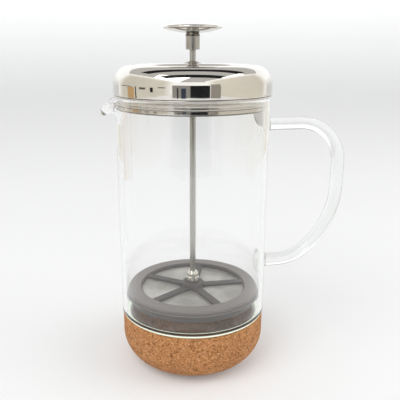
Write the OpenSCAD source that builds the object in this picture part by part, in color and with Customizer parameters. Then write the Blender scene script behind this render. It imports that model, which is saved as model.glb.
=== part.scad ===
// French press: glass beaker with a fused glass handle, standing in a cork cup,
// with a steel lid, a plunger rod with a round knob, and a spoked filter.
// Millimetres. +Z is up, the handle points along +X and the spout along -X.
// The origin is the centre of the cork cup's underside.

/* [Beaker] */
// Outside diameter of the glass wall
glass_d = 100; // [90:1:122]
// Height of the glass from its foot to its rim
glass_h = 178; // [168:1:215]
// Thickness of the glass wall
glass_wall = 2.8; // [2.3:0.1:3.4]
// Thickness of the glass floor
glass_floor = 3; // [2.4:0.1:5]
// Step from the wall in to the narrower foot that the cork holds
foot_step = 5.5; // [4.5:0.1:7]
// Rounding where the wall turns in over the cork
ledge_round = 2.5; // [1:0.1:3]

/* [Spout] */
// How far the lip reaches past the wall
spout_reach = 9.3; // [7:0.1:12]
// Radius of the spout where it leaves the wall
spout_root_r = 13; // [10:0.5:15]
// Radius of the spout's cone past the tip
spout_tip_r = 4; // [3.4:0.1:6]
// Fall of the spout below level, in degrees
spout_fall = 33; // [24:1:40]

/* [Handle] */
// Diameter of the glass handle
handle_d = 9; // [6:0.5:11]
// From the glass wall out to the middle of the grip
handle_reach = 53.3; // [46:0.1:64]
// From the rim down to the middle of the upper leg
handle_top_gap = 16.4; // [14:0.1:26]
// From the cork up to the middle of the lower leg
handle_low_gap = 29; // [18:0.1:36]
// Bend radius of the upper corner
handle_corner_r = 28; // [20:1:32]
// Bend radius of the lower corner
handle_low_r = 33; // [24:1:36]
// Straight stretch of the grip
handle_straight = 15.8; // [4:0.1:20]
// Straight stretch of the lower leg
handle_leg = 10.8; // [6:0.1:18]
// Width of the flare where a leg is fused to the wall
handle_flare = 4.5; // [3:0.5:6]

/* [Cork cup] */
// Height of the cork
cork_h = 36; // [30:1:44]
// Thickness of cork under the glass
cork_floor = 6; // [4:0.5:9]
// How far the cork stands inside the glass wall
cork_inset = 0.6; // [0.3:0.1:1.5]
// Radius of the cork's rounded underside
cork_round = 22; // [16:1:26]

/* [Lid] */
// How far the dome reaches past the glass wall
lid_over = 1; // [0.6:0.1:3]
// Height of the dome above its flange
dome_h = 18.3; // [15:0.1:24]
// Radius of the dome's shoulder
shoulder_r = 12; // [10:0.5:14]
// Depth of the dish in the dome's top
dish_depth = 2.4; // [1.5:0.1:4]
// Radius of the raised seat in the middle of the dish
seat_r = 16; // [10:0.5:20]
// Height of that seat
seat_h = 0.9; // [0.5:0.1:1.4]
// Thickness of the lid's sheet steel
sheet = 0.8; // [0.6:0.1:1.1]
// Height of the flange that rests on the rim
flange_h = 1.5; // [1.2:0.1:2.4]
// How far the collar reaches down inside the glass
collar_h = 7.9; // [6:0.1:14]
// Gap between the collar and the glass
collar_gap = 0.5; // [0.4:0.1:1]
// Width of the spout tongue
tongue_w = 24.5; // [18:0.5:30]
// How far the tongue hangs below the collar
tongue_h = 8.9; // [6:0.1:12]
// Direction of the tongue about the axis, in degrees from +X
tongue_turn = -33; // [-180:1:180]

/* [Bush] */
// Diameter of the bush's thin flange
bush_d = 12; // [10:0.5:16]
// Radius of the neck between the seat and the flange
neck_r = 2.9; // [2.8:0.1:3.6]
// Radius of the shank that passes down through the lid
shank_r = 3.5; // [3.2:0.1:4.5]
// Height of the flange's top above the seat
bush_h = 3.9; // [3:0.1:6]

/* [Plunger] */
// Diameter of the rod
rod_d = 4; // [3.6:0.1:4.2]
// Gap left between the bush and the sleeve, which is how far down it can still go
plunge_gap = 6.8; // [6.4:0.1:20]
// Diameter of the knob
knob_d = 37.2; // [28:0.2:46]
// Thickness of the knob at its middle
knob_t = 7.2; // [6:0.1:9]
// Diameter of the sleeve under the knob
sleeve_d = 8.9; // [8:0.1:12]
// Height of the sleeve
sleeve_h = 8.2; // [5:0.1:14]
// Diameter of the round nut above the filter
hub_nut_d = 9; // [8:0.5:12]
// Height of that nut
hub_nut_h = 8.2; // [6:0.1:11]

/* [Filter] */
// Gap between the filter's lip and the glass
lip_gap = 0.3; // [0.2:0.1:0.8]
// Width of the filter's flat top ring
ring_w = 9.3; // [6:0.1:12]
// Thickness of the top ring
ring_t = 3.1; // [2.5:0.1:4]
// Height of the lower frame
lower_h = 4.4; // [3.4:0.1:7]
// Number of spokes
spoke_count = 5; // [3:1:8]
// Width of a spoke
spoke_w = 4.6; // [3:0.1:7]
// Radius of the hub
hub_r = 8; // [7.4:0.1:10]
// Height of the hub above the top ring
hub_rise = 1.9; // [1:0.1:3]
// Height of the filter above the beaker's inner ledge
filter_gap = 6.3; // [6:0.1:20]

/* [Hidden] */
$fn = 96;
eps = 0.01;

// Clearances
cork_fit = 0.3;        // glass foot in the cork, all round
running = 0.06;        // rod in its bush and in the filter's hub, each side
turning = 0.08;        // lid sheet round the bush's shank, each side
face_gap = 0.2;        // between faces that turn on each other

// Beaker
glass_r = glass_d / 2;
in_r = glass_r - glass_wall;
foot_z = cork_floor;
floor_z = foot_z + glass_floor;
rim_z = foot_z + glass_h;
rim_round = glass_wall / 2;
ledge_z = cork_h + cork_fit;
ledge_in_z = ledge_z + glass_wall;
ledge_cove = 1.2;
foot_r = glass_r - foot_step;
foot_in_r = foot_r - glass_wall;

// Cork: the pocket's heel follows the cork's rounded underside
cork_r = glass_r - cork_inset;
pocket_r = foot_r + cork_fit;
pocket_round = cork_round - (cork_r - pocket_r);
heel_r = pocket_round - cork_fit;
cork_edge = 1.5;

// Spout: an outer and an inner cone on one falling axis
spout_wall = 2.4;
spout_axis_up = 2.4;   // height of the cone's start above the rim
spout_back = 4;        // how far inside the wall the cone starts
spout_len = 19;
nose_r = 8.3;          // rounding of the lip, seen from the side
nose_down = 10.4;      // middle of that rounding, below the rim

// Handle: two legs, an upper corner, a straight grip, a long bow and a lower corner
handle_r = handle_d / 2;
grip_x = glass_r + handle_reach;
top_leg_z = rim_z - handle_top_gap;
low_leg_z = cork_h + handle_low_gap;
corner_x = grip_x - handle_corner_r;
bow_z = top_leg_z - handle_corner_r - handle_straight;
low_x = glass_r + handle_leg;
bow_across = grip_x - low_x - handle_low_r;
bow_down = bow_z - low_leg_z - handle_low_r;
bow_turn = 2 * atan(bow_across / bow_down);
bow_r = handle_low_r + bow_down / sin(bow_turn);
leg_start = glass_r - 2;
flare_x = glass_r - 0.7;
handle_sides = 18;

// Lid
lid_z = rim_z + face_gap;              // underside of the flange
dome_z = lid_z + flange_h;             // lower edge of the dome
dome_r = glass_r + lid_over;
dome_top = dome_z + dome_h;
shoulder_x = dome_r - shoulder_r;
shoulder_z = dome_top - shoulder_r;
dish_slope = 25;                       // steepest slope of the dish's side, in degrees
dish_z = dome_top - dish_depth;
dish_r = (dish_depth - shoulder_r * (1 - cos(dish_slope))) / (1 - cos(dish_slope));
dish_x = shoulder_x - (shoulder_r + dish_r) * sin(dish_slope);
seat_z = dish_z + seat_h;
collar_r = in_r - collar_gap;
collar_z = lid_z - collar_h;
bead_r = 0.6;
insert_r = collar_r - sheet;
insert_z = lid_z;                      // underside of the insert's disc
insert_skirt = collar_h - 1.5;
tongue_r = tongue_w / 2;
tongue_z = collar_z - tongue_h + tongue_r;

// Bush
bore_r = rod_d / 2 + running;
flange_edge = 0.25;
bush_top = seat_z + bush_h;
bush_foot_r = shank_r + 1;
bush_nut_h = 4;
bush_nut_d = 13;
nut_top = insert_z - face_gap;
shank_end = nut_top - bush_nut_h - 0.8;

// Plunger
rod_r = rod_d / 2;
sleeve_z = bush_top + plunge_gap;
neck_z = sleeve_z + sleeve_h;
band_h = 1.7;
knob_z = neck_z + band_h;              // underside of the knob at its middle
knob_r = knob_d / 2;
knob_edge = 0.6;
knob_mid = knob_z + knob_t * 0.49;
cap_up = knob_z + knob_t - knob_mid - knob_edge;
cap_down = knob_mid - knob_edge - knob_z;
knob_rim = knob_r - knob_edge;
knob_up_r = (pow(knob_rim, 2) + pow(cap_up, 2)) / (2 * cap_up);
knob_down_r = (pow(knob_rim, 2) + pow(cap_down, 2)) / (2 * cap_down);
sleeve_r = sleeve_d / 2;

// Filter, from its underside up
filter_z = ledge_in_z + filter_gap;
lip_t = 0.8;
mesh_t = 0.3;
lip_z = filter_z + lower_h;
mesh_z = lip_z + lip_t;
spider_z = mesh_z + mesh_t;
ring_z = lip_z + lip_t + ring_t;       // top of the flat ring
lip_r = in_r - lip_gap;
ring_r = in_r - 1.9;
lower_r = in_r - 3.2;
mesh_r = lower_r - 1.5;
open_r = ring_r - ring_w;
hub_top = ring_z + hub_rise;
insert_bush_r = 4;
insert_head_r = 6.5;
insert_head_h = 0.8;
rod_z = filter_z + 0.6;
hub_nut_z = hub_top + face_gap;
hub_nut_r = hub_nut_d / 2;

// ---- Sections shared by several parts ----

// From the axis out to r, between z0 and z1, with the lower corner rounded
module drum_section(r, z0, z1, round) {
    translate([0, z0]) intersection() {
        square([r, z1 - z0]);
        union() {
            square([r - round, z1 - z0]);
            translate([0, round]) square([r, z1 - z0]);
            translate([r - round, round]) circle(round);
        }
    }
}

// The cove of radius c in the corner at [x, z] between a wall on its left and a roof above
module cove_section(x, z, c) {
    translate([x, z - c]) difference() {
        square(c);
        translate([c, 0]) circle(c);
    }
}

// A ring of rectangular section
module ring_section(r0, r1, z0, z1) {
    translate([r0, z0]) square([r1 - r0, z1 - z0]);
}

// ---- Cork cup ----

module cork_base() {
    color("peru") rotate_extrude() difference() {
        drum_section(cork_r, 0, cork_h, cork_round);
        drum_section(pocket_r, cork_floor, cork_h + eps, pocket_round);
        polygon([
            [pocket_r - eps, cork_h - cork_edge],
            [pocket_r + cork_edge, cork_h + eps],
            [pocket_r - eps, cork_h + eps]
        ]);
    }
}

// ---- Beaker ----

module glass_section() {
    difference() {
        union() {
            drum_section(foot_r, foot_z, ledge_z + ledge_round, heel_r);
            drum_section(glass_r, ledge_z, rim_z - rim_round, ledge_round);
            cove_section(foot_r, ledge_z, ledge_cove);
        }
        drum_section(foot_in_r, floor_z, ledge_in_z + 1, heel_r - glass_wall);
        drum_section(in_r, ledge_in_z, rim_z, 1);
        cove_section(foot_in_r, ledge_in_z, ledge_cove + glass_wall);
    }
    translate([glass_r - rim_round, rim_z - rim_round]) circle(rim_round);
}

// The spout's outer cone, or its channel when thinned by the wall
module spout_cone(thin) {
    translate([-(glass_r - spout_back), 0, rim_z + spout_axis_up])
        rotate([0, -(90 + spout_fall), 0])
            cylinder(h = spout_len, r1 = spout_root_r - thin, r2 = spout_tip_r - thin);
}

module spout_lip() {
    difference() {
        intersection() {
            spout_cone(0);
            translate([-(glass_r + spout_reach - nose_r), 0, rim_z - nose_down])
                rotate([90, 0, 0])
                    cylinder(h = 3 * spout_root_r, r = nose_r, center = true);
        }
        translate([0, 0, rim_z - glass_h / 2]) cylinder(h = glass_h, r = glass_r - rim_round);
    }
}

module glass_beaker() {
    color("lightcyan", 0.4) difference() {
        union() {
            rotate_extrude() glass_section();
            spout_lip();
        }
        spout_cone(spout_wall);
    }
}

// ---- Handle ----

// Rings along the middle of the handle, each [x, z, heading, radius]
function bend_rings(x, z, r, from, to, first, steps) = [
    for (i = [first : steps])
        let (a = from + (to - from) * i / steps)
            [x + r * cos(a), z + r * sin(a), a - 90, handle_r]
];

// Rings of the cove that widens a leg where it meets the wall
function flare_rings(z, heading, turns) = [
    for (q = turns)
        [flare_x + handle_flare * (1 - cos(q)), z, heading,
         handle_r + handle_flare * (1 - sin(q))]
];

function handle_rings() = concat(
    [[leg_start, top_leg_z, 0, handle_r + handle_flare]],
    flare_rings(top_leg_z, 0, [0 : 18 : 90]),
    bend_rings(corner_x, top_leg_z - handle_corner_r, handle_corner_r, 90, 0, 0, 8),
    bend_rings(grip_x - bow_r, bow_z, bow_r, 0, -bow_turn, 0, 7),
    bend_rings(low_x, low_leg_z + handle_low_r, handle_low_r, -bow_turn, -90, 1, 5),
    flare_rings(low_leg_z, -180, [90 : -18 : 0]),
    [[leg_start, low_leg_z, -180, handle_r + handle_flare]]
);

function ring_points(ring, sides) = [
    for (k = [0 : sides - 1])
        let (t = k * 360 / sides, out = ring[3] * cos(t))
            [ring[0] - out * sin(ring[2]), ring[3] * sin(t), ring[1] + out * cos(ring[2])]
];

module glass_handle() {
    rings = handle_rings();
    sides = handle_sides;
    last = (len(rings) - 1) * sides;
    color("lightcyan", 0.5) difference() {
        polyhedron(
            points = [for (ring = rings) each ring_points(ring, sides)],
            faces = concat(
                [[for (k = [sides - 1 : -1 : 0]) k]],
                [for (i = [0 : len(rings) - 2], k = [0 : sides - 1])
                    let (a = i * sides + k, b = i * sides + (k + 1) % sides)
                        each [[a, b, b + sides], [a, b + sides, a + sides]]],
                [[for (k = [0 : sides - 1]) last + k]]
            )
        );
        cylinder(h = rim_z, r = glass_r);
    }
}

// ---- Lid ----

// Everything under the dome's outer face, thinned by t and cut off at height base
module dome_section(t, base) {
    bend = shoulder_r - t;
    intersection() {
        translate([0, base]) square([dome_r, dome_top - base]);
        union() {
            square([dome_r - t, shoulder_z]);
            translate([shoulder_x, shoulder_z]) circle(bend);
            translate([0, shoulder_z]) square([seat_r - t, seat_z - shoulder_z - t]);
            translate([0, shoulder_z]) difference() {
                square([shoulder_x - bend * sin(dish_slope), bend * cos(dish_slope)]);
                translate([dish_x, dish_z - shoulder_z + dish_r]) circle(dish_r + t);
                translate([0, dish_z - shoulder_z - t]) square([dish_x, shoulder_r]);
            }
        }
    }
}

module lid_dome() {
    color("gainsboro") difference() {
        rotate_extrude() difference() {
            dome_section(0, dome_z);
            dome_section(sheet, dome_z - 1);
        }
        translate([0, 0, dome_z]) cylinder(h = dome_h, r = shank_r + turning);
    }
}

module lid_collar() {
    color("silver") rotate_extrude() difference() {
        union() {
            ring_section(collar_r - sheet, dome_r - 0.6, lid_z, dome_z);
            translate([dome_r - 0.6, (lid_z + dome_z) / 2])
                circle(flange_h / 2 - 0.1);
            ring_section(collar_r - sheet, collar_r, collar_z + bead_r, lid_z + eps);
            translate([collar_r - bead_r + 0.1, collar_z + bead_r]) circle(bead_r);
            translate([collar_r - bead_r + 0.2, lid_z - collar_h * 0.3]) circle(bead_r);
        }
        square([collar_r - sheet, dome_z + 1]);
    }
}

// Flat disc under the dome, with a skirt behind the collar and a tongue below it
module lid_insert() {
    color("darkgray") difference() {
        union() {
            rotate_extrude() {
                ring_section(0, insert_r, insert_z, insert_z + sheet);
                ring_section(insert_r - sheet, insert_r, insert_z - insert_skirt, insert_z + eps);
            }
            intersection() {
                rotate_extrude()
                    ring_section(insert_r - sheet, insert_r, collar_z - tongue_h - 1, insert_z);
                rotate([0, 0, tongue_turn]) translate([0, 0, tongue_z]) rotate([0, 90, 0])
                    cylinder(h = glass_r, r = tongue_r);
            }
        }
        translate([0, 0, insert_z - eps]) cylinder(h = sheet + 1, r = shank_r + turning);
    }
}

module lid_bush() {
    color("silver") rotate_extrude() difference() {
        polygon([
            [0, shank_end], [shank_r, shank_end],
            [shank_r, seat_z + face_gap], [bush_foot_r, seat_z + face_gap],
            [bush_foot_r, seat_z + face_gap + 0.4], [neck_r, seat_z + 1.2],
            [neck_r, bush_top - 1.9], [bush_d / 2, bush_top - 1.5],
            [bush_d / 2, bush_top - 1.5 + flange_edge], [bore_r + 0.3, bush_top],
            [0, bush_top]
        ]);
        translate([0, shank_end - eps]) square([bore_r, bush_top - shank_end + 1]);
    }
}

module bush_nut() {
    color("gray") difference() {
        translate([0, 0, nut_top - bush_nut_h]) cylinder(h = bush_nut_h, d = bush_nut_d, $fn = 6);
        translate([0, 0, nut_top - bush_nut_h - 1]) cylinder(h = bush_nut_h + 2, r = shank_r);
    }
}

// ---- Plunger ----

module plunger_rod() {
    color("silver") translate([0, 0, rod_z]) cylinder(h = neck_z - rod_z, r = rod_r);
}

// A lens-shaped disc: two shallow caps and a rounded edge
// The domed underside and what stands above it
module knob_under_section() {
    intersection() {
        square([knob_rim, knob_z + knob_t]);
        translate([0, knob_z + knob_down_r]) circle(knob_down_r, $fn = 360);
    }
}

module knob_disc() {
    color("gainsboro") rotate_extrude() {
        intersection() {
            knob_under_section();
            translate([0, knob_z + knob_t - knob_up_r]) circle(knob_up_r, $fn = 360);
        }
        translate([knob_rim, knob_mid]) circle(knob_edge);
    }
}

module knob_neck() {
    color("dimgray") difference() {
        translate([0, 0, neck_z])
            cylinder(h = band_h + 0.5, r1 = sleeve_r + 0.1, r2 = sleeve_r - 0.5);
        rotate_extrude() knob_under_section();
    }
}

module knob_sleeve() {
    color("darkgray") rotate_extrude() ring_section(rod_r, sleeve_r, sleeve_z, neck_z);
}

// Round nut with a domed top
module hub_nut() {
    color("gainsboro") rotate_extrude() difference() {
        intersection() {
            ring_section(0, hub_nut_r, hub_nut_z, hub_nut_z + hub_nut_h);
            translate([0, hub_nut_z + hub_nut_h - hub_nut_r]) union() {
                circle(hub_nut_r);
                translate([0, -hub_nut_h]) square([hub_nut_r, hub_nut_h]);
            }
        }
        translate([0, hub_nut_z - 1]) square([rod_r, hub_nut_h + 2]);
    }
}

// ---- Filter ----

module filter_spokes(z0, z1, reach) {
    for (i = [0 : spoke_count - 1])
        rotate([0, 0, i * 360 / spoke_count]) translate([0, -spoke_w / 2, z0])
            cube([reach, spoke_w, z1 - z0]);
}

module filter_spider() {
    color("gray") difference() {
        union() {
            rotate_extrude() {
                polygon([
                    [open_r, spider_z], [mesh_r + 0.2, spider_z], [mesh_r + 0.2, mesh_z],
                    [ring_r, mesh_z], [ring_r, ring_z], [open_r, ring_z]
                ]);
                polygon([
                    [0, spider_z], [hub_r, spider_z], [hub_r, ring_z],
                    [hub_nut_r + 0.6, hub_top], [0, hub_top]
                ]);
            }
            filter_spokes(spider_z + 0.2, ring_z - 0.9, open_r + 1);
        }
        translate([0, 0, spider_z - 1]) cylinder(h = hub_top, r = insert_bush_r);
    }
}

module filter_lip() {
    color("dimgray") rotate_extrude() {
        ring_section(mesh_r - 2, ring_r - 0.4, lip_z, lip_z + lip_t);
        polygon([
            [ring_r - 0.5, lip_z], [lip_r - 0.3, lip_z + 0.9], [lip_r, lip_z + 1.6],
            [lip_r - 0.4, lip_z + 1.6], [lip_r - 0.9, lip_z + 1.3],
            [ring_r + 0.1, lip_z + lip_t], [ring_r - 0.5, lip_z + lip_t]
        ]);
    }
}

module mesh_screen() {
    color("lightgray") rotate_extrude() ring_section(insert_bush_r, mesh_r, mesh_z, spider_z);
}

// Lower frame: a rim, spokes and a hub that hold the mesh up from below
module filter_base() {
    color("gray") difference() {
        union() {
            rotate_extrude() {
                ring_section(open_r + 1, lower_r, filter_z, lip_z);
                ring_section(0, hub_r, filter_z, mesh_z);
            }
            filter_spokes(filter_z + 1, lip_z, open_r + 2);
        }
        translate([0, 0, filter_z - 1]) cylinder(h = lower_h + 5, r = insert_bush_r);
    }
}

// Threaded bush in the hub that the rod screws into
module hub_insert() {
    color("silver") rotate_extrude() {
        ring_section(bore_r, insert_bush_r, filter_z, hub_top);
        ring_section(bore_r, insert_head_r, filter_z - insert_head_h, filter_z);
    }
}

cork_base();
glass_beaker();
glass_handle();
lid_dome();
lid_collar();
lid_insert();
lid_bush();
bush_nut();
plunger_rod();
knob_disc();
knob_neck();
knob_sleeve();
hub_nut();
filter_spider();
filter_lip();
mesh_screen();
filter_base();
hub_insert();
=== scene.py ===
"""French press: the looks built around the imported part. Sizes are metres, angles are degrees."""

import math

import bmesh
import bpy
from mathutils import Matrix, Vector, noise


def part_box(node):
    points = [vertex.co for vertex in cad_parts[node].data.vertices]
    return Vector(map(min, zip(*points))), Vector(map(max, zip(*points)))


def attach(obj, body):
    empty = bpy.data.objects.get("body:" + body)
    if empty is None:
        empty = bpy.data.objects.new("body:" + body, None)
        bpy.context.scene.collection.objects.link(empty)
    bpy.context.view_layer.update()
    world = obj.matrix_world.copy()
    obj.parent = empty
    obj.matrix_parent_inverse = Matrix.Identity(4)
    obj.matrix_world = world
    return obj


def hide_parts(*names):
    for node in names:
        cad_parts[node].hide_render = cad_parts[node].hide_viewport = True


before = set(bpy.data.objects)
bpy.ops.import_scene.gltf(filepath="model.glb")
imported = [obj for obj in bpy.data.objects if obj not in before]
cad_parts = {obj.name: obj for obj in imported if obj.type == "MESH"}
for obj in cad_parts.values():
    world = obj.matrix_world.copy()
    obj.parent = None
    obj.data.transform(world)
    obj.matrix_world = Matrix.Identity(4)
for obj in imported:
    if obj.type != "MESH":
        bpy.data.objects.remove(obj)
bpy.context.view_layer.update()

MM = 0.001

# ---------------------------------------------------------------- sizes taken from the frame


def top(node):
    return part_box(node)[1].z


def bottom(node):
    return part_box(node)[0].z


def reach(node):
    """Radius of a round node."""
    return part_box(node)[1].y


GLASS_R = reach("glass_beaker")
RIM_Z = top("glass_beaker")
FOOT_Z = bottom("glass_beaker")
CORK_R = reach("cork_base")
CORK_TOP = top("cork_base")
DOME_R = reach("lid_dome")
DOME_LOW = bottom("lid_dome")
DOME_TOP = top("lid_dome")
COLLAR_LOW = bottom("lid_collar")
BUSH_TOP = top("lid_bush")
ROD_R = reach("plunger_rod")
SLEEVE_R = reach("knob_sleeve")
KNOB_R = reach("knob_disc")
LIP_R = reach("filter_lip")
RING_R = reach("filter_spider")
LOWER_R = reach("filter_base")

# Sizes that no box gives, as the part has them
WALL = 2.8 * MM            # glass wall
SHEET = 0.8 * MM           # steel of the lid
FOOT_STEP = 5.5 * MM       # wall to glass foot
LIP_GAP = 0.3 * MM         # lip to glass
CORK_ROUND = 22 * MM
HANDLE_R = 4.5 * MM
HANDLE_FLARE = 4.5 * MM
INNER_R = GLASS_R - WALL
LID_Z = RIM_Z + 0.2 * MM   # underside of the collar's flange
SEAT_Z = BUSH_TOP - 3.9 * MM   # raised middle of the dome's dish, where the bush stands
ROLL = 0.62 * MM           # radius of the collar's rolled lower edge
GROOVES = (1.4 * MM, 3.1 * MM, 5.0 * MM)   # the collar's grooves, below the flange


# ---------------------------------------------------------------- outlines


def arc(x, z, r, start, end, steps=12):
    """Points of a round stretch, angles measured from +x towards +z."""
    turns = [math.radians(start + (end - start) * i / steps) for i in range(steps + 1)]
    return [(x + r * math.cos(a), z + r * math.sin(a)) for a in turns]


def rounded(corners, steps=6, closed=True):
    """The outline through corners (x, z, round), each corner turned into an arc."""
    points = []
    count = len(corners)
    for i, (x, z, r) in enumerate(corners):
        at_end = not closed and i in (0, count - 1)
        if r == 0 or at_end:
            points.append((x, z))
            continue
        before = Vector(corners[i - 1][:2])
        after = Vector(corners[(i + 1) % count][:2])
        here = Vector((x, z))
        a = (before - here).normalized()
        b = (after - here).normalized()
        half = a.angle(b) / 2
        middle = here + (a + b).normalized() * (r / math.sin(half))
        start = here + a * (r / math.tan(half)) - middle
        end = here + b * (r / math.tan(half)) - middle
        first = math.atan2(start.y, start.x)
        sweep = math.atan2(end.y, end.x) - first
        sweep = (sweep + math.pi) % (2 * math.pi) - math.pi
        for k in range(steps + 1):
            turn = first + sweep * k / steps
            points.append((middle.x + r * math.cos(turn), middle.y + r * math.sin(turn)))
    return points


def curve_through(points, steps):
    """Catmull-Rom curve through the points, with steps pieces in all."""
    result = []
    spans = len(points) - 1
    for i in range(steps + 1):
        place = min(i / steps * spans, spans - 1e-9)
        k = int(place)
        t = place - k
        p = [points[max(0, min(spans, k + j))] for j in (-1, 0, 1, 2)]
        result.append(tuple(
            0.5 * (2 * p[1][c] + (p[2][c] - p[0][c]) * t
                   + (2 * p[0][c] - 5 * p[1][c] + 4 * p[2][c] - p[3][c]) * t * t
                   + (3 * p[1][c] - p[0][c] - 3 * p[2][c] + p[3][c]) * t ** 3)
            for c in (0, 1)))
    return result


# ---------------------------------------------------------------- meshes


def finish_mesh(name, bm, sharp=32):
    """A smooth-shaded object from a bmesh, with edges steeper than sharp left crisp."""
    bmesh.ops.recalc_face_normals(bm, faces=bm.faces)
    mesh = bpy.data.meshes.new(name)
    bm.to_mesh(mesh)
    bm.free()
    mesh.polygons.foreach_set("use_smooth", [True] * len(mesh.polygons))
    mesh.set_sharp_from_angle(angle=math.radians(sharp))
    obj = bpy.data.objects.new(name, mesh)
    bpy.context.scene.collection.objects.link(obj)
    return obj


def revolve(name, outline, steps=192, place=None):
    """Turns an outline of (r, z) round Z. It runs from axis to axis, or closes on itself."""
    bm = bmesh.new()
    rings = []
    for r, z in outline:
        if r < 1e-7:
            rings.append([bm.verts.new((0, 0, z))])
            continue
        ring = []
        for k in range(steps):
            turn = 2 * math.pi * k / steps
            spot = place(r, z, turn) if place else (r * math.cos(turn), r * math.sin(turn), z)
            ring.append(bm.verts.new(spot))
        rings.append(ring)
    on_axis = len(rings[0]) == 1 and len(rings[-1]) == 1
    pairs = list(zip(rings, rings[1:])) + ([] if on_axis else [(rings[-1], rings[0])])
    for low, high in pairs:
        join_rings(bm, low, high)
    return finish_mesh(name, bm)


def join_rings(bm, low, high):
    count = max(len(low), len(high))
    for k in range(count):
        n = (k + 1) % count
        if len(low) == 1:
            bm.faces.new((low[0], high[n], high[k]))
        elif len(high) == 1:
            bm.faces.new((low[k], low[n], high[0]))
        else:
            bm.faces.new((low[k], low[n], high[n], high[k]))


def plate(name, outline, low, high, edge):
    """A flat plate with rounded edges, from a closed outline of (x, y)."""
    bm = bmesh.new()
    base = [bm.verts.new((x, y, low)) for x, y in outline]
    face = bm.faces.new(base)
    grown = bmesh.ops.extrude_face_region(bm, geom=[face])
    for v in (g for g in grown["geom"] if isinstance(g, bmesh.types.BMVert)):
        v.co.z = high
    obj = finish_mesh(name, bm, 30)
    soften(obj, edge)
    return obj


def soften(obj, width, segments=3):
    """Rounds the sharp edges of an object."""
    bevel = obj.modifiers.new("edges", "BEVEL")
    bevel.width = width
    bevel.segments = segments
    bevel.limit_method = "ANGLE"
    bevel.angle_limit = math.radians(40)
    bevel.use_clamp_overlap = True
    bake_modifiers(obj)


def bake_modifiers(obj):
    """Applies an object's modifiers."""
    graph = bpy.context.evaluated_depsgraph_get()
    mesh = bpy.data.meshes.new_from_object(obj.evaluated_get(graph))
    obj.modifiers.clear()
    obj.data = mesh


def unite(obj, others):
    """Joins solids into one closed skin."""
    for other in others:
        cut = obj.modifiers.new("join", "BOOLEAN")
        cut.operation = "UNION"
        cut.solver = "EXACT"
        cut.object = other
    flat = obj.modifiers.new("flat faces", "WEIGHTED_NORMAL")
    flat.keep_sharp = True
    bake_modifiers(obj)
    for other in others:
        bpy.data.objects.remove(other)
    return obj


# ---------------------------------------------------------------- node helpers


class Shader:
    """A material whose nodes are added one by one."""

    def __init__(self, name):
        self.material = bpy.data.materials.new(name)
        self.material.use_nodes = True
        self.nodes = self.material.node_tree.nodes
        self.links = self.material.node_tree.links
        self.surface = self.nodes["Principled BSDF"]
        self.output = self.nodes["Material Output"]
        self.coords = self.nodes.new("ShaderNodeTexCoord").outputs["Object"]

    def add(self, kind, values=None, **settings):
        node = self.nodes.new("ShaderNode" + kind)
        for key, value in settings.items():
            setattr(node, key, value)
        for key, value in (values or {}).items():
            self.put(node.inputs[key], value)
        return node

    def put(self, socket, value):
        if isinstance(value, bpy.types.NodeSocket):
            self.links.new(value, socket)
        else:
            socket.default_value = value

    def set(self, **values):
        """Sets the Principled shader's sockets; an underscore stands for a space."""
        for key, value in values.items():
            self.put(self.surface.inputs[key.replace("_", " ")], value)

    def noise(self, size, detail=3, rough=0.5, stretch=(1, 1, 1)):
        """Noise with features about size metres wide, stretched along an axis."""
        space = self.add("Mapping", {"Vector": self.coords, "Scale": stretch})
        return self.add("TexNoise", {"Vector": space.outputs["Vector"], "Scale": 1 / size,
                                     "Detail": detail, "Roughness": rough}).outputs["Fac"]

    def cells(self, size, feature="F1", warp=None):
        return self.add("TexVoronoi", {"Vector": warp or self.coords, "Scale": 1 / size},
                        feature=feature)

    def ramp(self, value, stops):
        """Colours, or grey levels, at places along a value."""
        node = self.add("ValToRGB", {"Fac": value})
        band = node.color_ramp
        while len(band.elements) < len(stops):
            band.elements.new(0.5)
        for element, (place, shade) in zip(band.elements, stops):
            element.position = place
            shade = (shade,) * 3 if isinstance(shade, (int, float)) else shade
            element.color = (*shade, 1)
        return node.outputs["Color"]

    def calc(self, operation, *values):
        return self.add("Math", dict(enumerate(values)), operation=operation).outputs[0]

    def mix(self, share, a, b, blend="MIX"):
        node = self.add("Mix", data_type="RGBA", blend_type=blend)
        for index, value in ((0, share), (6, a), (7, b)):
            value = (*value, 1) if isinstance(value, tuple) else value
            self.put(node.inputs[index], value)
        return node.outputs[2]

    def scale(self, value, low, high):
        """Maps 0..1 to low..high."""
        return self.add("MapRange", {"Value": value, "To Min": low, "To Max": high}).outputs[0]

    def bump(self, height, depth, strength=1.0):
        """Relief of the given depth in metres."""
        normal = self.add("Bump", {"Height": height, "Distance": depth, "Strength": strength})
        self.put(self.surface.inputs["Normal"], normal.outputs["Normal"])
        return normal


# ---------------------------------------------------------------- materials


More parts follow.
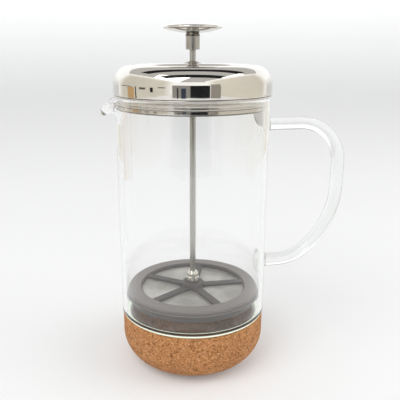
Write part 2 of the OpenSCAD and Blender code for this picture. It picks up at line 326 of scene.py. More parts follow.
def cork_material():
    s = Shader("pressed_cork")
    wobble = s.noise(0.0016, 2)
    warped = s.add("VectorMath", {0: s.coords}, operation="ADD")
    push = s.add("VectorMath", {0: wobble, "Scale": 0.0007}, operation="SCALE")
    s.put(warped.inputs[1], push.outputs[0])
    spot = warped.outputs[0]
    big = s.cells(0.0017, warp=spot)
    small = s.cells(0.00075, warp=spot)
    seams = s.cells(0.0017, "DISTANCE_TO_EDGE", warp=spot)
    tint = s.add("SeparateColor", {"Color": big.outputs["Color"]})
    tint_small = s.add("SeparateColor", {"Color": small.outputs["Color"]})
    granule = s.ramp(tint.outputs[0], [
        (0.0, (0.3, 0.119, 0.042)), (0.14, (0.41, 0.178, 0.064)), (0.5, (0.51, 0.232, 0.091)),
        (0.85, (0.585, 0.28, 0.114)), (1.0, (0.66, 0.36, 0.17))])
    crumbs = s.ramp(tint_small.outputs[1], [
        (0.0, (0.07, 0.026, 0.01)), (0.17, (0.17, 0.066, 0.024)), (0.27, (0.51, 0.232, 0.091)),
        (0.88, (0.545, 0.257, 0.1)), (1.0, (0.74, 0.44, 0.23))])
    colour = s.mix(0.62, granule, crumbs)
    seam = s.ramp(seams.outputs["Distance"], [(0.0, 0.55), (0.09, 1.0)])
    colour = s.mix(1.0, colour, seam, "MULTIPLY")
    cloud = s.ramp(s.noise(0.014, 3), [(0.3, (0.92, 0.9, 0.88)), (0.7, (1.06, 1.06, 1.06))])
    colour = s.mix(1.0, colour, cloud, "MULTIPLY")
    s.set(Base_Color=colour, Roughness=s.scale(tint_small.outputs[2], 0.72, 0.95),
          Specular_IOR_Level=0.25)
    height = s.calc("ADD", seams.outputs["Distance"], tint_small.outputs[0])
    s.bump(height, 0.00016, 0.8)
    return s.material


def clear_glass(name, tint, edge, band):
    """Glass that lets light through to what it holds, with painted shade where it is seen edge on.

    band says how edge-on the glass is where it starts to darken, is half dark and is darkest."""
    s = Shader(name)
    facing = s.add("LayerWeight", {"Blend": 0.5}).outputs["Facing"]
    # painted shade that deepens as the glass is seen more edge on
    depth = s.ramp(facing, [(band[0], 0.0), (band[1], 0.5), (band[2], 1.0)])
    s.set(Base_Color=s.mix(depth, tint, edge), Transmission_Weight=1.0, IOR=1.47,
          Roughness=s.scale(s.noise(0.02, 4), 0.0, 0.01), Specular_IOR_Level=0.5)
    s.bump(s.noise(0.018, 2), 0.00012, 0.35)
    path = s.add("LightPath")
    beyond = s.calc("MAXIMUM", path.outputs["Is Shadow Ray"], path.outputs["Is Reflection Ray"])
    clear = s.add("BsdfTransparent", {"Color": (0.98, 0.985, 0.98, 1)})
    both = s.add("MixShader", {0: beyond, 1: s.surface.outputs[0],
                               2: clear.outputs[0]})
    s.put(s.output.inputs["Surface"], both.outputs[0])
    return s.material


def glass_ledge_painted_glow():
    """The turned-in edge of the glass, with a painted milky-green glow and highlight for the light
    that it gathers.
    """
    s = Shader("glass_ledge_painted_glow")
    cloud = s.noise(0.006, 4)
    # painted highlight colour, and an emission that is a painted glow
    s.set(Base_Color=s.mix(cloud, (0.5, 0.55, 0.46), (0.74, 0.79, 0.7)),
          Roughness=s.scale(cloud, 0.12, 0.3), Transmission_Weight=0.1, IOR=1.47,
          Emission_Color=(0.6, 0.67, 0.55, 1), Emission_Strength=0.6)
    s.bump(cloud, 0.0001, 0.4)
    return s.material


def polished_steel(name, colour, rough=(0.03, 0.07)):
    """Mirror-bright metal with faint wipe marks and fine polishing lines round Z."""
    s = Shader(name)
    smears = s.noise(0.016, 5, 0.6, (1, 1, 2.2))
    lines = s.noise(0.0011, 2, 0.5, (0.12, 0.12, 3))
    shade = tuple(c * 0.94 for c in colour)
    s.set(Base_Color=s.mix(s.ramp(smears, [(0.35, 0.0), (0.7, 1.0)]), colour, shade),
          Metallic=1.0, Roughness=s.scale(smears, *rough))
    s.bump(lines, 0.000004, 0.25)
    return s.material


def satin_steel(name, colour, rough=(0.24, 0.36), grain=(14, 14, 0.5)):
    """Brushed metal; grain is how the scratches are stretched along X, Y and Z."""
    s = Shader(name)
    scratches = s.noise(0.004, 6, 0.65, grain)
    worn = s.noise(0.009, 4)
    dark = tuple(c * 0.8 for c in colour)
    s.set(Base_Color=s.mix(scratches, dark, colour), Metallic=1.0,
          Roughness=s.scale(worn, *rough))
    s.bump(scratches, 0.00002, 0.4)
    return s.material


def moulded_plastic(name, colour, rough=(0.38, 0.52)):
    s = Shader(name)
    grain = s.noise(0.00035, 3, 0.6)
    cloud = s.noise(0.012, 3)
    dark = tuple(c * 0.88 for c in colour)
    s.set(Base_Color=s.mix(cloud, dark, colour), Roughness=s.scale(cloud, *rough),
          Specular_IOR_Level=0.45)
    s.bump(grain, 0.00003, 0.5)
    return s.material


def woven_mesh():
    """Fine plain-weave steel: wires along X and Y, with painted shade for the holes between them."""
    s = Shader("woven_mesh")
    pitch = 0.00034
    wires = []
    for axis in ("X", "Y"):
        wave = s.add("TexWave", {"Vector": s.coords, "Scale": 0.314 / pitch / 2, "Distortion": 0.0},
                     wave_type="BANDS", bands_direction=axis, wave_profile="SIN")
        wires.append(wave.outputs["Fac"])
    weave = s.calc("MAXIMUM", *wires)
    cloud = s.noise(0.018, 3)
    patch = s.ramp(cloud, [(0.36, 0.0), (0.64, 1.0)])
    bright = s.mix(patch, (0.34, 0.325, 0.3), (0.64, 0.62, 0.585))
    # the dark colour between the wires is painted shade for the holes
    s.set(Base_Color=s.mix(s.ramp(weave, [(0.25, 0.0), (0.7, 1.0)]), (0.2, 0.19, 0.18), bright),
          Metallic=0.55, Roughness=s.scale(cloud, 0.4, 0.55))
    s.bump(weave, 0.00008, 0.6)
    return s.material


CORK = cork_material()
# both glasses get painted shade towards their edges, the rod more of it
GLASS = clear_glass("borosilicate", (0.997, 1.0, 0.998), (0.34, 0.37, 0.355),
                    (0.78, 0.92, 0.99))
HANDLE_GLASS = clear_glass("borosilicate_rod", (0.985, 0.995, 0.988), (0.2, 0.215, 0.2),
                           (0.45, 0.66, 0.9))
GLASS_LEDGE_PAINTED_GLOW = glass_ledge_painted_glow()
CHROME = polished_steel("chrome", (0.74, 0.715, 0.67))
# the knob neck's dark steel, also used as painted shade in the collar's grooves
DARK_STEEL_AND_GROOVE_SHADE = polished_steel("dark_steel", (0.2, 0.19, 0.175), (0.1, 0.18))
COLLAR_STEEL = polished_steel("collar_steel", (0.6, 0.57, 0.53), (0.08, 0.14))
BUSH_STEEL = polished_steel("bush_steel", (0.5, 0.48, 0.45), (0.1, 0.18))
SATIN = satin_steel("satin_steel", (0.5, 0.485, 0.455))
SATIN_TONGUE = satin_steel("satin_sheet", (0.56, 0.55, 0.53), (0.3, 0.42), (9, 9, 1))
PLASTIC = moulded_plastic("filter_plastic", (0.165, 0.143, 0.135))
# the darker plastic of the spokes, hub and lower frame, also used as painted shade
SPOKE_PLASTIC_AND_RECESS_SHADE = moulded_plastic("spoke_plastic_and_recess_shade", (0.075, 0.065, 0.06), (0.55, 0.68))
LIP_PLASTIC = moulded_plastic("lip_seal", (0.15, 0.138, 0.134), (0.3, 0.4))
MESH = woven_mesh()


def dress(obj, material, body, slot, *nodes):
    """Gives a piece its material and its body, and hides the CAD nodes that it stands for. The slot
    argument is not used.
    """
    obj.data.materials.clear()
    obj.data.materials.append(material)
    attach(obj, body)
    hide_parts(*nodes)
    return obj


def paint_faces(obj, material, chosen):
    """Gives the faces whose middle is chosen a material of their own."""
    obj.data.materials.append(material)
    for face in obj.data.polygons:
        if chosen(face.center):
            face.material_index = 1


def reface(node, material):
    """A CAD node whose shape stays gets a better material."""
    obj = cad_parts[node]
    obj.data.materials.clear()
    obj.data.materials.append(material)
    return obj


# ---------------------------------------------------------------- standing part


def cork_cup():
    """Pressed cork with a granular skin, rounded underneath and softened at its rim."""
    floor_z = FOOT_Z
    pocket_r = GLASS_R - FOOT_STEP + LIP_GAP
    heel = CORK_ROUND - (CORK_R - pocket_r)
    skin = [(CORK_R - CORK_ROUND) * i / 30 for i in range(30)]
    outline = [(r, 0) for r in skin]
    outline += arc(CORK_R - CORK_ROUND, CORK_ROUND, CORK_ROUND, -90, 0, 64)
    side_top = CORK_TOP - 1.4 * MM
    outline += [(CORK_R, CORK_ROUND + (side_top - CORK_ROUND) * i / 28) for i in range(1, 28)]
    outline += arc(CORK_R - 1.4 * MM, side_top, 1.4 * MM, 0, 90, 5)
    outline += arc(pocket_r + 1.5 * MM, CORK_TOP - 1.5 * MM, 1.5 * MM, 90, 180, 5)
    outline += arc(pocket_r - heel, floor_z + heel, heel, 0, -90, 14)
    outline += [(0, floor_z)]
    cup = revolve("cork_cup", outline, 480)
    normals = [v.normal.copy() for v in cup.data.vertices]
    for v, normal in zip(cup.data.vertices, normals):
        v.co -= normal * pit_depth(v.co)
    return cup


def pit_depth(spot):
    """How far the granular skin dips at a point: seams between granules and a few pits."""
    near = noise.voronoi(spot / (1.9 * MM))[0]
    seam = max(0.0, 1 - (near[1] - near[0]) / 0.16)
    fine = noise.noise(spot / (0.8 * MM), noise_basis="PERLIN_ORIGINAL")
    pit = max(0.0, noise.noise(spot / (2.6 * MM) + Vector((7, 3, 1))) - 0.32)
    return MM * (0.12 * seam + 0.05 * (fine + 1) / 2 + 0.7 * pit)


def spout_share(turn):
    """How much of the spout's shape the wall has at an angle: 1 in the middle, 0 outside it."""
    half_width = 19
    off = abs(math.degrees(turn) - 180) / half_width
    return math.cos(off * math.pi / 2) ** 2 if off < 1 else 0.0


def beaker_outlines():
    """The plain wall and the wall through the middle of the spout, point for point."""
    foot_r = GLASS_R - FOOT_STEP
    heel = CORK_ROUND - (CORK_R - foot_r)
    ledge_z = CORK_TOP + LIP_GAP
    lip_start = RIM_Z - 20 * MM
    edge = WALL / 2
    spout_r = -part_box("glass_beaker")[0].x
    low = rounded([(0, FOOT_Z, 0), (foot_r, FOOT_Z, heel), (foot_r, ledge_z, 1.2 * MM),
                   (GLASS_R, ledge_z, 2.5 * MM), (GLASS_R, lip_start, 0)], 14, False)
    outer = [(GLASS_R, lip_start + (RIM_Z - edge - lip_start) * i / 30) for i in range(1, 30)]
    crown = arc(GLASS_R - edge, RIM_Z - edge, edge, 0, 180, 14)
    inner = [(INNER_R, RIM_Z - edge - (RIM_Z - edge - lip_start) * i / 30) for i in range(1, 30)]
    high = rounded([(INNER_R, lip_start, 0), (INNER_R, ledge_z + WALL, 1 * MM),
                    (foot_r - WALL, ledge_z + WALL, 4 * MM),
                    (foot_r - WALL, FOOT_Z + 3 * MM, heel - WALL), (0, FOOT_Z + 3 * MM, 0)],
                   14, False)

    def at(out, down):
        return (GLASS_R + out * MM, RIM_Z - down * MM)

    tip = spout_r - GLASS_R
    under = curve_through([at(0, 20), at(0, 14), at(0.3, 10.6), at(2.4, 9.6), at(5.2, 10.8),
                           (GLASS_R + tip * 0.84, RIM_Z - 11.5 * MM)], 30)
    nose = curve_through([(GLASS_R + tip * 0.84, RIM_Z - 11.5 * MM),
                          (GLASS_R + tip * 0.97, RIM_Z - 10.2 * MM),
                          (GLASS_R + tip, RIM_Z - 7.8 * MM),
                          (GLASS_R + tip * 0.92, RIM_Z - 6.5 * MM), at(7.4, 7.1)], 16)
    channel = curve_through([at(7.4, 7.1), at(6.2, 8), at(4.4, 8.3), at(2, 7.9), at(-0.8, 8.8),
                             at(-2.4, 11.5), at(-2.8, 15), at(-2.8, 20)], 30)
    plain = low + outer + crown + inner + high
    beak = low + under[1:30] + nose[1:16] + channel[1:30] + high
    return plain, beak


def glass_beaker():
    """One blown skin: stepped foot, wall, fire-polished rim and a pinched pouring lip.

    Beside the spout the wall bulges outwards sooner than its rim drops, so the lip looks full."""
    plain, beak = beaker_outlines()
    bend = {p: b for p, b in zip(plain, beak)}

    def place(r, z, turn):
        share = spout_share(turn)
        out, up = bend[(r, z)]
        r, z = r + (out - r) * share ** 0.8, z + (up - z) * share ** 1.5
        return (r * math.cos(turn), r * math.sin(turn), z)

    return revolve("beaker_glass", plain, 288, place)


def on_glass_ledge(spot):
    """The thick turn of the glass where the wall steps in to the foot, where the painted glow goes.
    """
    ledge_height, ledge_width = 2.6 * MM, 5.3 * MM
    return (CORK_TOP < spot.z < CORK_TOP + ledge_height
            and spot.xy.length > GLASS_R - ledge_width)


def handle_path():
    """Middle line of the handle as (x, z, heading), from the upper pad to the lower one."""
    low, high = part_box("glass_handle")
    grip_x = high.x - HANDLE_R
    top_z = high.z - HANDLE_R - HANDLE_FLARE
    low_z = low.z + HANDLE_R + HANDLE_FLARE
    corner, heel, straight, leg = 28 * MM, 33 * MM, 15.8 * MM, 10.8 * MM
    bow_z = top_z - corner - straight
    low_x = GLASS_R + leg
    across = grip_x - low_x - heel
    down = bow_z - low_z - heel
    turn = 2 * math.degrees(math.atan(across / down))
    bow = heel + down / math.sin(math.radians(turn))

    def bend(x, z, r, start, end, steps):
        points = arc(x, z, r, start, end, steps)
        return [(*p, start + (end - start) * i / steps - 90) for i, p in enumerate(points)]

    path = bend(grip_x - corner, top_z - corner, corner, 90, 0, 24)
    path += bend(grip_x - bow, bow_z, bow, 0, -turn, 24)
    path += bend(low_x, low_z + heel, heel, -turn, -90, 16)[1:]
    return path, top_z, low_z


def glass_handle():
    """A solid glass rod bent to the grip, flared into a pad where it is fused to the wall."""
    path, top_z, low_z = handle_path()
    sides = 48
    bm = bmesh.new()

    def ring_at(x, z, heading, radius):
        ring = []
        for k in range(sides):
            t = 2 * math.pi * k / sides
            out = radius * math.cos(t)
            a = math.radians(heading)
            ring.append(bm.verts.new((x - out * math.sin(a), radius * math.sin(t),
                                      z + out * math.cos(a))))
        return ring

    def pad(z, heading):
        """Rings from the middle of the fused face out to the rod."""
        gap = 0.01 * MM
        rings = [[bm.verts.new((GLASS_R + gap, 0, z))]]
        widest = HANDLE_R + HANDLE_FLARE
        radii = [(widest * i / 5, 0.0) for i in range(1, 6)]
        turns = [math.radians(90 * i / 12) for i in range(1, 13)]
        radii += [(HANDLE_R + HANDLE_FLARE * (1 - math.sin(q)), 1 - math.cos(q)) for q in turns]
        for radius, off in radii:
            ring = ring_at(0, z, heading, radius)
            for v in ring:
                wall = math.sqrt(GLASS_R ** 2 - v.co.y ** 2) + gap
                v.co.x = wall + (GLASS_R - wall) * off + HANDLE_FLARE * off
            rings.append(ring)
        return rings

    rings = pad(top_z, 0) + [ring_at(*spot, HANDLE_R) for spot in path]
    rings += list(reversed(pad(low_z, -180)))
    for low, high in zip(rings, rings[1:]):
        join_rings(bm, low, high)
    return finish_mesh("handle_glass", bm)


# ---------------------------------------------------------------- lid


def dome():
    """Drawn sheet-steel cap: full shoulder, shallow dish and a raised seat for the bush."""
    shoulder = 12 * MM
    slope = 25
    dish_z = SEAT_Z - 0.9 * MM
    x, z = DOME_R - shoulder, DOME_TOP - shoulder
    drop = DOME_TOP - dish_z
    fall = 1 - math.cos(math.radians(slope))
    cove = (drop - shoulder * fall) / fall
    cove_x = x - (shoulder + cove) * math.sin(math.radians(slope))
    hole = 3.6 * MM
    outer = rounded([(DOME_R - 0.5 * MM, DOME_LOW, 0), (DOME_R, DOME_LOW, 0.35 * MM),
                     (DOME_R, z, 0)], 5, False)
    outer += arc(x, z, shoulder, 0, 90 + slope, 44)[1:]
    outer += arc(cove_x, dish_z + cove, cove, -90 + slope, -90, 14)[1:]
    outer += rounded([(cove_x, dish_z, 0), (17 * MM, dish_z, 0.7 * MM),
                      (16.2 * MM, SEAT_Z, 0.6 * MM), (hole, SEAT_Z, 0)], 6, False)[1:]
    inner = [(hole, SEAT_Z - SHEET), (16 * MM, SEAT_Z - SHEET), (16.6 * MM, dish_z - SHEET)]
    inner += arc(cove_x, dish_z + cove, cove + SHEET, -90, -90 + slope, 8)
    inner += arc(x, z, shoulder - SHEET, 90 + slope, 0, 24)
    inner += [(DOME_R - SHEET, DOME_LOW + 0.2 * MM)]
    return revolve("dome_shell", outer + inner, 320)


def collar():
    """Rolled ring: the bead on the rim, a groove, and the band inside the glass."""
    outer_r = reach("lid_collar")
    band_r = INNER_R - 0.5 * MM
    inner_r = band_r - SHEET
    flange = arc(outer_r - 0.56 * MM, (LID_Z + DOME_LOW) / 2, 0.56 * MM, 85, -85, 12)
    beads = [arc(band_r - 0.3 * MM, LID_Z - 2.1 * MM, 0.58 * MM, 58, -58, 8),
             arc(band_r - 0.3 * MM, LID_Z - 4.3 * MM, 0.5 * MM, 52, -52, 8)]
    rolled = arc(band_r - 0.5 * MM, COLLAR_LOW + ROLL, ROLL, 40, -180, 18)
    outline = [(inner_r, DOME_LOW), (outer_r - 1.2 * MM, DOME_LOW - 0.04 * MM)] + flange
    outline += rounded([(outer_r - 1.2 * MM, LID_Z + 0.05 * MM, 0), (band_r, LID_Z, 0.5 * MM),
                        (band_r - 0.15 * MM, LID_Z - GROOVES[0], 0)], 6, False)
    outline += beads[0] + [(band_r - 0.15 * MM, LID_Z - GROOVES[1])] + beads[1]
    outline += [(band_r - 0.1 * MM, LID_Z - 5.2 * MM), (band_r, LID_Z - 5.9 * MM)] + rolled
    outline += [(inner_r, COLLAR_LOW + 1.5 * MM)]
    return revolve("collar_ring", outline, 320)


def in_collar_groove(spot):
    """The narrow grooves of the collar and its rolled lower edge, which get painted shade."""
    half_groove = 0.22 * MM
    on_roll = spot.z < COLLAR_LOW + 0.95 * MM
    return on_roll or any(abs(LID_Z - spot.z - groove) < half_groove for groove in GROOVES)


def bush():
    """Spool that the rod slides in: thin flange on top, neck, foot on the seat, shank."""
    low = bottom("lid_bush")
    bore = ROD_R + 0.06 * MM
    flange_r = reach("lid_bush")
    foot = SEAT_Z + 0.2 * MM
    outline = rounded([
        (bore, low, 0), (3.5 * MM, low, 0.3 * MM), (3.5 * MM, foot, 0),
        (4.5 * MM, foot, 0), (4.5 * MM, foot + 0.4 * MM, 0.15 * MM),
        (2.9 * MM, SEAT_Z + 1.2 * MM, 0.5 * MM), (2.9 * MM, BUSH_TOP - 1.9 * MM, 0.4 * MM),
        (flange_r, BUSH_TOP - 1.5 * MM, 0.1 * MM), (flange_r, BUSH_TOP - 1.25 * MM, 0.1 * MM),
        (bore + 0.9 * MM, BUSH_TOP - 0.1 * MM, 0.6 * MM), (bore + 0.15 * MM, BUSH_TOP, 0.1 * MM),
        (bore, BUSH_TOP - 0.2 * MM, 0)], 5)
    return revolve("bush_spool", outline, 96)


# ---------------------------------------------------------------- plunger


def rod():
    low, high = bottom("plunger_rod"), top("plunger_rod")
    edge = 0.4 * MM
    outline = rounded([(0, low, 0), (ROD_R, low, edge), (ROD_R, high, 0.1 * MM), (0, high, 0)],
                      4, False)
    return revolve("rod", outline, 64)


def sleeve():
    low, high = bottom("knob_sleeve"), top("knob_sleeve")
    bore = ROD_R + 0.02 * MM
    outline = rounded([(bore, low, 0), (SLEEVE_R, low, 0.35 * MM), (SLEEVE_R, high, 0.2 * MM),
                       (bore, high, 0)], 5)
    return revolve("sleeve", outline, 96)


def knob_outline():
    """Lens section: domed on top and underneath, meeting in a small rounded rim."""
    low, high = bottom("knob_disc"), top("knob_disc")
    edge = 0.95 * MM
    rim = KNOB_R - edge
    middle = low + (high - low) * 0.49
    outline = []
    for pole, side in ((low, 1), (high, -1)):
        cap = abs(middle - pole) - edge
        radius = (rim ** 2 + cap ** 2) / (2 * cap)
        span = math.degrees(math.asin(rim / radius))
        centre = pole + side * radius
        sweep = (-90, -90 + span) if side == 1 else (90 - span, 90)
        outline.append(arc(0, centre, radius, *sweep, 26))
    under, over = outline
    nose = arc(rim, middle, edge, -70, 70, 10)
    return under[:-1] + nose + over[1:]


def knob():
    return revolve("knob", [(abs(r), z) for r, z in knob_outline()], 192)


def neck():
    low = bottom("knob_neck")
    high = bottom("knob_disc") + 0.05 * MM
    wide = reach("knob_neck")
    outline = rounded([(0, low, 0), (wide, low, 0.25 * MM), (wide, low + 0.9 * MM, 0.3 * MM),
                       (wide - 0.6 * MM, high + 0.08 * MM, 0), (0, high, 0)], 5, False)
    return revolve("neck_band", outline, 96)


def hub_nut():
    """Round-topped nut that locks the rod to the filter."""
    low, high = bottom("hub_nut"), top("hub_nut")
    wide = reach("hub_nut")
    bore = ROD_R + 0.02 * MM
    outline = rounded([(bore, low, 0), (wide, low, 0.3 * MM), (wide, low + 3.2 * MM, 0.3 * MM),
                       (wide - 0.5 * MM, low + 3.7 * MM, 0.2 * MM),
                       (wide - 0.4 * MM, high - 2.2 * MM, 1.6 * MM),
                       (bore + 0.7 * MM, high, 0.8 * MM), (bore, high - 0.1 * MM, 0)], 7)
    return revolve("lock_nut", outline, 96)


# ---------------------------------------------------------------- filter


def star_outline(hub, spoke, ring, fillet, count=5):
    """Outline of a hub with spokes that widen a little where they meet the hub and the ring."""
    points = []
    for i in range(count):
        turn = math.radians(360 / count * i)
        along = Vector((math.cos(turn), math.sin(turn)))
        across = Vector((-along.y, along.x))
        half = spoke / 2
        start = math.sqrt((hub + fillet) ** 2 - (half + fillet) ** 2)
        stretch = [(start, half + fillet * 0.45), (start + fillet * 0.6, half),
                   (ring - 2 * MM, half), (ring, half + 0.8 * MM)]
        side = [along * x - across * y for x, y in stretch]
        back = [along * x + across * y for x, y in reversed(stretch)]
        points += [tuple(p) for p in side + back]
        gap = math.radians(360 / count)
        points += [(hub * math.cos(turn + gap * f), hub * math.sin(turn + gap * f))
                   for f in (0.35, 0.5, 0.65)]
    return points


def ring_outline(inner, outer, low, high, edge):
    return rounded([(inner, low, edge), (outer, low, edge), (outer, high, edge),
                    (inner, high, edge)], 5)


def upper_frame():
    """Moulded frame: flat ring with a sloped inner edge, five spokes, and a hub."""
    low, high = bottom("filter_spider"), top("filter_spider")
    ring_top = high - 1.9 * MM
    inner = RING_R - 9.3 * MM
    edge = 0.35 * MM
    outline = rounded([(inner, low, 0), (RING_R, low, 0.2 * MM), (RING_R, ring_top, 0.6 * MM),
                       (inner + 0.9 * MM, ring_top, 0.3 * MM), (inner, ring_top - 1 * MM, 0.3 * MM)],
                      5)
    ring = revolve("upper_frame", outline, 240)
    star = plate("spokes", star_outline(7.6 * MM, 5.2 * MM, inner + 1 * MM, 2 * MM),
                 low + 0.2 * MM, ring_top - 0.9 * MM, edge)
    bore = 2.06 * MM
    hub = revolve("hub", rounded([(bore, low + 0.1 * MM, 0), (7.7 * MM, low + 0.1 * MM, 0),
                                  (7.7 * MM, high - 0.9 * MM, 0.8 * MM),
                                  (6.2 * MM, high, 0.4 * MM), (bore, high, 0)], 5), 96)
    return unite(ring, [star, hub])


def lower_frame():
    low, high = bottom("filter_base"), top("filter_base")
    inner = LOWER_R - 8 * MM
    ring = revolve("lower_frame", ring_outline(inner, LOWER_R, low, high, 0.5 * MM), 240)
    star = plate("low_spokes", star_outline(8 * MM, 4 * MM, inner + 1 * MM, 3 * MM),
                 low + 0.3 * MM, high - 0.2 * MM, 0.35 * MM)
    return unite(ring, [star])


def lip_seal():
    """Thin flexible ring that wipes the glass, turned up towards its edge."""
    low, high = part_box("filter_lip")
    base = low.z
    inner = 38 * MM
    outline = rounded([(inner, base, 0), (LIP_R - 1.6 * MM, base, 1 * MM),
                       (LIP_R, high.z - 0.5 * MM, 0.2 * MM), (LIP_R - 0.3 * MM, high.z, 0.2 * MM),
                       (LIP_R - 2.2 * MM, base + 0.8 * MM, 1 * MM), (inner, base + 0.8 * MM, 0)],
                      5)
    return revolve("lip_seal", outline, 240)


# ---------------------------------------------------------------- build


dress(cork_cup(), CORK, "base", "cork", "cork_base")
beaker = dress(glass_beaker(), GLASS, "beaker", "glass", "glass_beaker")
# painted glow and highlight on the glass ledge
paint_faces(beaker, GLASS_LEDGE_PAINTED_GLOW, on_glass_ledge)
dress(glass_handle(), HANDLE_GLASS, "beaker", "glass", "glass_handle")
dress(dome(), CHROME, "lid", "chrome", "lid_dome")
ring = dress(collar(), COLLAR_STEEL, "lid", "chrome", "lid_collar")
# painted shade in the collar's grooves and on its rolled lower edge
paint_faces(ring, DARK_STEEL_AND_GROOVE_SHADE, in_collar_groove)
dress(bush(), BUSH_STEEL, "bush", "chrome", "lid_bush")
dress(rod(), SATIN, "plunger", "satin_steel", "plunger_rod")
dress(sleeve(), SATIN, "plunger", "satin_steel", "knob_sleeve")
dress(neck(), DARK_STEEL_AND_GROOVE_SHADE, "plunger", "dark_steel", "knob_neck")
dress(knob(), CHROME, "plunger", "chrome", "knob_disc")
dress(hub_nut(), CHROME, "plunger", "chrome", "hub_nut")
spider = dress(upper_frame(), PLASTIC, "filter", "grey_plastic", "filter_spider")
# spokes and hub take the darker plastic; the ring's inner wall and chamfer get it as painted shade
paint_faces(spider, SPOKE_PLASTIC_AND_RECESS_SHADE, lambda spot: spot.xy.length < RING_R - 8.5 * MM)
dress(lower_frame(), SPOKE_PLASTIC_AND_RECESS_SHADE, "filter", "grey_plastic", "filter_base")
dress(lip_seal(), LIP_PLASTIC, "filter", "lip_plastic", "filter_lip")
reface("lid_insert", SATIN_TONGUE)
reface("bush_nut", SATIN)
reface("mesh_screen", MESH)
reface("hub_insert", SATIN)

# ---------------------------------------------------------------- stage, light and camera


def stage_material(name, colour, glow=0.0, glow_high=None, fade=None):
    """Matt paper that glows a little.

    With glow_high the glow grows with height. With fade, a half width and half height, the
    sheet turns white towards its edges, so that it has no hard edge in a mirror."""
    s = Shader(name)
    tone = s.noise(0.6, 2)
    dark = tuple(c * 0.985 for c in colour)
    s.set(Base_Color=s.mix(tone, dark, colour), Roughness=0.9, Specular_IOR_Level=0.0,
          Emission_Color=(*colour, 1), Emission_Strength=glow)
    if fade is not None:
        place = s.add("SeparateXYZ", {0: s.coords}).outputs
        shares = [s.calc("DIVIDE", place[axis], half) for axis, half in zip("XZ", fade)]
        near = s.calc("MAXIMUM", *[s.calc("ABSOLUTE", share) for share in shares])
        edge = s.ramp(near, [(0.6, 0.0), (1.0, 1.0)])
        s.set(Base_Color=s.mix(edge, colour, (0.8, 0.8, 0.8)),
              Emission_Color=s.mix(edge, colour, (1.0, 1.0, 1.0)),
              Emission_Strength=s.scale(edge, glow, 0.45))
    if glow_high is not None:
        up = s.add("SeparateXYZ", {0: s.coords}).outputs["Z"]
        s.set(Emission_Strength=s.scale(up, glow, glow_high))
    return s.material


def backdrop():
    """A pale floor that sweeps up into a wall all the way round."""
    wide, sweep, tall = 2.6, 1.2, 2.6
    outline = [(wide * i / 8, 0) for i in range(8)]
    outline += arc(wide, sweep, sweep, -90, 0, 16)
    outline += [(wide + sweep, tall)]
    bm = bmesh.new()
    rings = [[bm.verts.new((0, 0, 0))]]
    for r, z in outline[1:]:
        rings.append([bm.verts.new((r * math.cos(math.tau * k / 64),
                                    r * math.sin(math.tau * k / 64), z)) for k in range(64)])
    for low, high in zip(rings, rings[1:]):
        join_rings(bm, low, high)
    obj = finish_mesh("backdrop", bm)
    for polygon in obj.data.polygons:    # the paper faces up and inwards
        if polygon.normal.z < -0.001 or polygon.center.xy.dot(polygon.normal.xy) > 0:
            polygon.flip()
    obj.data.materials.append(stage_material("paper", (0.73, 0.735, 0.74), 0.13, 0.88))


def hide_from_view(obj):
    """Leaves an object in mirrors only."""
    obj.visible_camera = False
    obj.visible_transmission = False
    obj.visible_diffuse = False
    obj.visible_shadow = False


def beam(name, low, high, shade):
    """A dark strip across the ceiling, between two heights as seen from the lid."""
    bm = bmesh.new()
    far, half_width = 1.5, 1.1
    a = math.radians(CAMERA_TURN)
    rows = []
    for turn in (low, high):
        level, up = far * math.cos(math.radians(turn)), far * math.sin(math.radians(turn))
        spots = [(side * half_width, -level, up + DOME_TOP) for side in (-1, 1)]
        rows.append([bm.verts.new((x * math.cos(a) + y * math.sin(a),
                                   -x * math.sin(a) + y * math.cos(a), z))
                     for x, y, z in spots])
    join_strip(bm, *rows)
    obj = finish_mesh(name, bm)
    obj.data.materials.append(stage_material(name, shade))
    hide_from_view(obj)


def join_strip(bm, low, high):
    bm.faces.new((low[0], low[1], high[1], high[0]))


def card(name, turn, height, size, shade, glow=0.0, distance=0.9, fades=False):
    """A sheet beside the camera that only mirrors see. Turn 0 is behind the camera."""
    bm = bmesh.new()
    w, h = size[0] / 2, size[1] / 2
    corners = [bm.verts.new(p) for p in ((-w, 0, -h), (w, 0, -h), (w, 0, h), (-w, 0, h))]
    bm.faces.new(corners)
    obj = finish_mesh(name, bm)
    a = math.radians(CAMERA_TURN + turn)
    obj.location = (-distance * math.sin(a), -distance * math.cos(a), height)
    obj.rotation_euler = (0, 0, -a)
    fade = (w, h) if fades else None
    obj.data.materials.append(stage_material(name, shade, glow, fade=fade))
    hide_from_view(obj)


def soft_light(name, place, size, power, colour=(1, 1, 1)):
    lamp = bpy.data.lights.new(name, "AREA")
    lamp.shape = "RECTANGLE"
    lamp.size, lamp.size_y = size
    lamp.energy = power
    lamp.color = colour
    obj = bpy.data.objects.new(name, lamp)
    obj.location = place
    aim = Vector((0, 0, 0.1)) - Vector(place)
    obj.rotation_euler = aim.to_track_quat("-Z", "Y").to_euler()
    bpy.context.scene.collection.objects.link(obj)


CAMERA_TURN = 10           # the camera stands this far round from -Y towards -X
CAMERA_BACK = 0.35684      # level distance from the press's axis
CAMERA_UP = 0.2130         # height above the floor
CAMERA_PITCH = 15.47       # tilt below level
CAMERA_LENS = 48.84
CAMERA_SHIFT = 0.0182


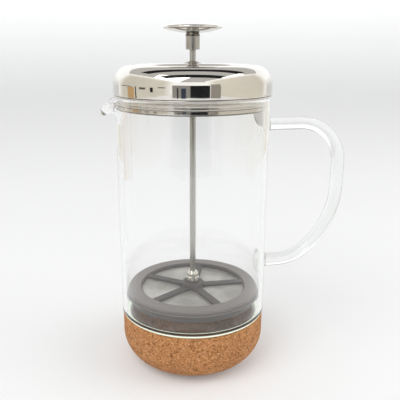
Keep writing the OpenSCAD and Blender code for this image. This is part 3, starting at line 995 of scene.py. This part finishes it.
def camera():
    data = bpy.data.cameras.new("camera")
    data.lens = CAMERA_LENS
    data.sensor_width = 36
    data.shift_x = CAMERA_SHIFT
    data.clip_start = 0.01
    obj = bpy.data.objects.new("camera", data)
    a = math.radians(CAMERA_TURN)
    obj.location = (-CAMERA_BACK * math.sin(a), -CAMERA_BACK * math.cos(a), CAMERA_UP)
    obj.rotation_euler = (math.radians(90 - CAMERA_PITCH), 0, -a)
    bpy.context.scene.collection.objects.link(obj)
    bpy.context.scene.camera = obj


def light_scene():
    world = bpy.data.worlds.new("studio")
    world.use_nodes = True
    sky = world.node_tree.nodes["Background"]
    sky.inputs["Color"].default_value = (1.0, 0.985, 0.96, 1)
    sky.inputs["Strength"].default_value = 0.62
    bpy.context.scene.world = world
    bpy.context.scene.view_settings.view_transform = "Standard"
    soft_light("key", (-0.9, -0.7, 1.5), (1.2, 1.0), 12.8)
    soft_light("fill", (1.2, -0.4, 1.1), (1.0, 1.0), 6.4)
    # what the polished lid mirrors: a dim room behind the camera with a grey door, a window and
    # a brown screen, two cream walls, some furniture in front of the left one, and two dark
    # beams overhead
    dark = (0.02, 0.02, 0.022)
    cream = (0.5, 0.475, 0.42)
    card("dim_room", -10, 0.1, (0.42, 0.62), dark)
    card("grey_door", 15, 0.12, (0.4, 0.6), (0.3, 0.29, 0.27), 0.1, 0.92)
    card("brown_screen", -31, 0.2, (0.22, 0.62), (0.3, 0.275, 0.24), 0.15, 0.91)
    card("window_frame", 20, 0.09, (0.03, 0.24), dark, distance=0.88)
    card("window", 12, 0.08, (0.1, 0.22), (0.05, 0.06, 0.09), 0.1, 0.88)
    card("cream_wall_right", -72, 0.5, (2.6, 1.6), cream, 0.62, 0.95, fades=True)
    card("cream_wall_left", 76, 0.45, (2.3, 1.4), cream, 0.55, 0.95, fades=True)
    card("table", 104, 0.2, (0.36, 0.025), dark, distance=0.85)
    card("orange_chair", 94, 0.09, (0.2, 0.18), (0.5, 0.33, 0.17), 0.2, 0.84)
    card("post", 84, 0.1, (0.03, 0.22), dark, distance=0.84)
    card("stools", 72, 0.16, (0.16, 0.05), (0.1, 0.09, 0.08), distance=0.86)
    card("figure", 57, 0.15, (0.07, 0.1), dark, distance=0.86)
    card("shelf", 42, 0.21, (0.16, 0.05), (0.09, 0.08, 0.07), distance=0.86)
    beam("front_beam", 58, 76, dark)
    beam("rear_beam", 100, 118, dark)


backdrop()
light_scene()
camera()
